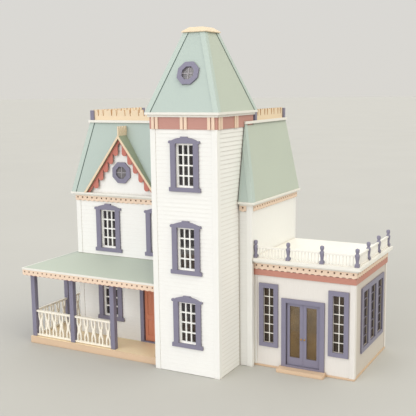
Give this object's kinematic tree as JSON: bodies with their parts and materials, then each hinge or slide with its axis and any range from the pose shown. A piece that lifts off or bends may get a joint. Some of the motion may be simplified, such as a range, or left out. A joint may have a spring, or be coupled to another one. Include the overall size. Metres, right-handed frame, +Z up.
{
  "type": "dollhouse",
  "caption": "Wooden dollhouse with a hipped tower, mansard roof, front gable, wrap-around porch and conservatory; open back, with hinged front and french doors.",
  "frame": {"origin": "centre of the footprint's box, on the table", "axes": "+X along the front from the porch to the conservatory, +Y from the front to the open back, +Z up"},
  "size_m": [1.129, 0.513, 1.031],
  "materials": {
    "white_paint": "satin paint",
    "purple_paint": "satin paint",
    "sage_paint": "satin paint",
    "rose_paint": "satin paint",
    "peach_paint": "satin paint",
    "terracotta_paint": "satin paint",
    "plywood": "bare sanded wood",
    "brass": "polished",
    "glass": "clear"
  },
  "bodies": {
    "house": {"ground_floor": "plywood", "second_floor": "plywood", "attic_floor": "plywood", "partitions": "white_paint", "staircase": "plywood", "main_front_wall": "white_paint", "main_left_wall": "white_paint", "main_right_wall": "white_paint", "tower_front_wall": "white_paint", "tower_left_wall": "white_paint", "tower_right_wall": "white_paint", "clapboard_siding": "white_paint", "corner_boards": "white_paint", "main_dentil_trim": "peach_paint", "main_cornice": "white_paint", "mansard_front_panels": "sage_paint", "mansard_side_panels": "sage_paint", "mansard_deck": "white_paint", "roof_cresting": "peach_paint", "cresting_posts": "purple_paint", "gable_wall": "white_paint", "gable_roof": "sage_paint", "gable_bargeboard": "rose_paint", "gable_trim": "peach_paint", "tower_frieze": "rose_paint", "tower_brackets": "peach_paint", "tower_cornice": "white_paint", "tower_roof": "sage_paint", "hip_trims": "sage_paint", "tower_cap": "peach_paint", "octagon_frames": "purple_paint", "window_casings": "purple_paint", "window_sashes": "white_paint", "window_panes": "glass", "front_door_frame": "purple_paint", "porch_floor": "peach_paint", "porch_posts": "purple_paint", "porch_rails": "white_paint", "porch_roof": "sage_paint", "porch_fascia": "white_paint", "porch_dentil_trim": "peach_paint", "conservatory_floor": "peach_paint", "conservatory_front_wall": "white_paint", "conservatory_side_wall": "white_paint", "conservatory_roof": "white_paint", "conservatory_frieze": "rose_paint", "conservatory_dentil_trim": "peach_paint", "conservatory_newels": "purple_paint", "conservatory_balustrade": "white_paint", "conservatory_window_frames": "purple_paint", "conservatory_muntins": "white_paint", "french_door_frame": "purple_paint"},
    "front_door": {"front_door": "terracotta_paint", "front_door_hardware": "brass"},
    "french_door_left": {"french_door_left": "purple_paint", "french_left_pane": "glass", "french_left_hardware": "brass"},
    "french_door_right": {"french_door_right": "purple_paint", "french_right_pane": "glass", "french_right_hardware": "brass"}
  },
  "joints": [
    {"name": "front_door_hinge", "type": "hinge", "parent": "house", "child": "front_door", "pos_m": [-0.1615, -0.099, 0.1166], "axis": [0, 0, 1], "range_deg": [0, 90]},
    {"name": "french_left_hinge", "type": "hinge", "parent": "house", "child": "french_door_left", "pos_m": [0.3347, -0.078, 0.1146], "axis": [0, 0, 1], "range_deg": [0, 95]},
    {"name": "french_right_hinge", "type": "hinge", "parent": "house", "child": "french_door_right", "pos_m": [0.4353, -0.078, 0.1146], "axis": [0, 0, 1], "range_deg": [-95, 0]}
  ]
}
